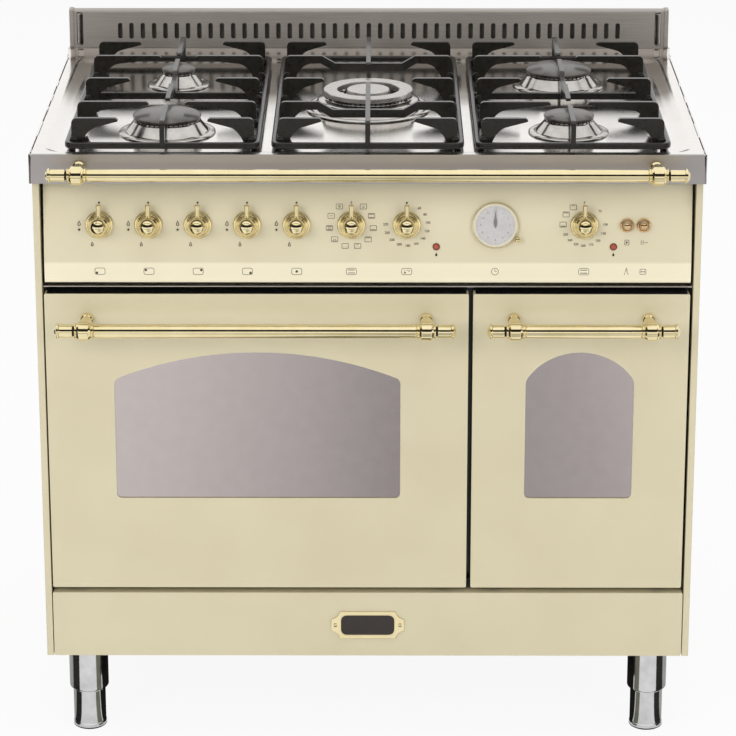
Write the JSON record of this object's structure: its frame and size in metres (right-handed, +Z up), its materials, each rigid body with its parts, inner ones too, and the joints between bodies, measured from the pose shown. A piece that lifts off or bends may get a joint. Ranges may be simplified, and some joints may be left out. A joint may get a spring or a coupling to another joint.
{
  "type": "range cooker with double oven",
  "caption": "Wide free-standing range cooker: gas hob with pan supports and rail, turned knobs, clock, a wide and a narrow oven with drop-down doors, on levelling legs.",
  "frame": {"origin": "on the floor, under the middle of the bounding box", "axes": "+X to the right seen from the front, +Y from the front to the back, +Z up"},
  "size_m": [0.9, 0.6576, 0.928],
  "materials": {
    "cream_enamel": "satin vitreous enamel on folded steel",
    "hob_steel": "fine brushed stainless steel",
    "back_sheet": "plain zinc-coated sheet",
    "chrome_legs": "polished chrome",
    "black_enamel": "gloss black enamel",
    "brass_fittings": "polished lacquered brass",
    "cast_iron_grates": "matt black enamelled cast iron",
    "burner_metal": "polished cast aluminium",
    "burner_cap_enamel": "satin grey enamel",
    "mirror_glass": "mirrored grey heat-resisting glass",
    "clock_dial": "matt ivory dial",
    "clock_ink": "matt black",
    "lamp_lens": "translucent red lens",
    "rack_wire": "chromed wire"
  },
  "bodies": {
    "chassis": {"hob_top": "hob_steel", "backguard": "hob_steel", "left_side_panel": "cream_enamel", "right_side_panel": "cream_enamel", "back_panel": "back_sheet", "base_frame": "chrome_legs", "front_frame": "black_enamel", "control_panel": "cream_enamel", "trim_strip": "hob_steel", "plinth_panel": "cream_enamel", "nameplate": "brass_fittings", "gas_manifold": "burner_metal", "burner_body_front_left": "burner_metal", "burner_cap_front_left": "burner_cap_enamel", "burner_body_rear_left": "burner_metal", "burner_cap_rear_left": "burner_cap_enamel", "burner_body_rear_right": "burner_metal", "burner_cap_rear_right": "burner_cap_enamel", "burner_body_front_right": "burner_metal", "burner_cap_front_right": "burner_cap_enamel", "burner_body_centre": "burner_metal", "burner_ring_centre": "burner_cap_enamel", "burner_inner_cap_centre": "burner_cap_enamel", "pan_support_left": "cast_iron_grates", "pan_support_centre": "cast_iron_grates", "pan_support_right": "cast_iron_grates", "clock_case": "clock_dial", "lamp_main_oven": "lamp_lens", "lamp_small_oven": "lamp_lens", "hob_rail": "brass_fittings", "main_oven_liner": "black_enamel", "main_oven_rack": "rack_wire", "small_oven_liner": "black_enamel", "small_oven_rack": "rack_wire"},
    "knob_front_left": {"knob_front_left": "brass_fittings"},
    "knob_rear_left": {"knob_rear_left": "brass_fittings"},
    "knob_rear_right": {"knob_rear_right": "brass_fittings"},
    "knob_front_right": {"knob_front_right": "brass_fittings"},
    "knob_centre": {"knob_centre": "brass_fittings"},
    "knob_oven_function": {"knob_oven_function": "brass_fittings"},
    "knob_main_thermostat": {"knob_main_thermostat": "brass_fittings"},
    "knob_small_oven": {"knob_small_oven": "brass_fittings"},
    "clock_minute_hand": {"clock_minute_hand": "clock_ink"},
    "clock_hour_hand": {"clock_hour_hand": "clock_ink"},
    "clock_set_knob": {"clock_set_knob": "brass_fittings"},
    "button_oven_light": {"button_oven_light": "brass_fittings"},
    "button_oven_fan": {"button_oven_fan": "brass_fittings"},
    "foot_front_left": {"foot_front_left": "chrome_legs"},
    "foot_rear_left": {"foot_rear_left": "chrome_legs"},
    "foot_front_right": {"foot_front_right": "chrome_legs"},
    "foot_rear_right": {"foot_rear_right": "chrome_legs"},
    "main_door": {"main_door_panel": "cream_enamel", "main_door_glass": "mirror_glass", "main_door_liner": "back_sheet", "main_door_handle": "brass_fittings"},
    "small_door": {"small_door_panel": "cream_enamel", "small_door_glass": "mirror_glass", "small_door_liner": "back_sheet", "small_door_handle": "brass_fittings"}
  },
  "joints": [
    {"name": "turn_front_left", "type": "hinge", "parent": "chassis", "child": "knob_front_left", "pos_m": [-0.3594, -0.25616, 0.7585], "axis": [0, -0.9903, 0.1392], "range_deg": [0, 200]},
    {"name": "turn_rear_left", "type": "hinge", "parent": "chassis", "child": "knob_rear_left", "pos_m": [-0.2936, -0.25616, 0.7585], "axis": [0, -0.9903, 0.1392], "range_deg": [0, 200]},
    {"name": "turn_rear_right", "type": "hinge", "parent": "chassis", "child": "knob_rear_right", "pos_m": [-0.2275, -0.25616, 0.7585], "axis": [0, -0.9903, 0.1392], "range_deg": [0, 200]},
    {"name": "turn_front_right", "type": "hinge", "parent": "chassis", "child": "knob_front_right", "pos_m": [-0.1614, -0.25616, 0.7585], "axis": [0, -0.9903, 0.1392], "range_deg": [0, 200]},
    {"name": "turn_centre", "type": "hinge", "parent": "chassis", "child": "knob_centre", "pos_m": [-0.0952, -0.25616, 0.7585], "axis": [0, -0.9903, 0.1392], "range_deg": [0, 200]},
    {"name": "turn_oven_function", "type": "hinge", "parent": "chassis", "child": "knob_oven_function", "pos_m": [-0.0218, -0.25616, 0.7585], "axis": [0, -0.9903, 0.1392], "continuous": true},
    {"name": "turn_main_thermostat", "type": "hinge", "parent": "chassis", "child": "knob_main_thermostat", "pos_m": [0.0524, -0.25616, 0.7585], "axis": [0, -0.9903, 0.1392], "range_deg": [-270, 0]},
    {"name": "turn_small_oven", "type": "hinge", "parent": "chassis", "child": "knob_small_oven", "pos_m": [0.2901, -0.25616, 0.7585], "axis": [0, -0.9903, 0.1392], "range_deg": [-330, 0]},
    {"name": "clock_set_turn", "type": "hinge", "parent": "chassis", "child": "clock_set_knob", "pos_m": [0.2005, -0.25873, 0.7402], "axis": [0, -0.9903, 0.1392], "continuous": true},
    {"name": "minute_hand_turn", "type": "hinge", "parent": "chassis", "child": "clock_minute_hand", "pos_m": [0.1709, -0.25616, 0.7585], "axis": [0, -0.9903, 0.1392], "continuous": true},
    {"name": "hour_hand_turn", "type": "hinge", "parent": "chassis", "child": "clock_hour_hand", "pos_m": [0.1709, -0.25616, 0.7585], "axis": [0, -0.9903, 0.1392], "continuous": true},
    {"name": "press_oven_light", "type": "slide", "parent": "chassis", "child": "button_oven_light", "axis": [0, 0.9903, -0.1392], "range_m": [0, 0.003], "stiffness_N_per_m": 600},
    {"name": "press_oven_fan", "type": "slide", "parent": "chassis", "child": "button_oven_fan", "axis": [0, 0.9903, -0.1392], "range_m": [0, 0.003], "stiffness_N_per_m": 600},
    {"name": "main_door_hinge", "type": "hinge", "parent": "chassis", "child": "main_door", "pos_m": [-0.1498, -0.2512, 0.244], "axis": [1, 0, 0], "range_deg": [0, 90], "stiffness_Nm_per_rad": 4, "springref_deg": -57.3},
    {"name": "small_door_hinge", "type": "hinge", "parent": "chassis", "child": "small_door", "pos_m": [0.28815, -0.2512, 0.244], "axis": [1, 0, 0], "range_deg": [0, 90], "stiffness_Nm_per_rad": 2.4, "springref_deg": -57.3},
    {"name": "level_foot_front_left", "type": "slide", "parent": "chassis", "child": "foot_front_left", "axis": [0, 0, 1], "range_m": [-0.03, 0]},
    {"name": "level_foot_rear_left", "type": "slide", "parent": "chassis", "child": "foot_rear_left", "axis": [0, 0, 1], "range_m": [-0.03, 0]},
    {"name": "level_foot_front_right", "type": "slide", "parent": "chassis", "child": "foot_front_right", "axis": [0, 0, 1], "range_m": [-0.03, 0]},
    {"name": "level_foot_rear_right", "type": "slide", "parent": "chassis", "child": "foot_rear_right", "axis": [0, 0, 1], "range_m": [-0.03, 0]}
  ],
  "couplings": [
    {"joint": "minute_hand_turn", "follows": "clock_set_turn", "ratio": -1},
    {"joint": "hour_hand_turn", "follows": "clock_set_turn", "ratio": -0.083333}
  ]
}
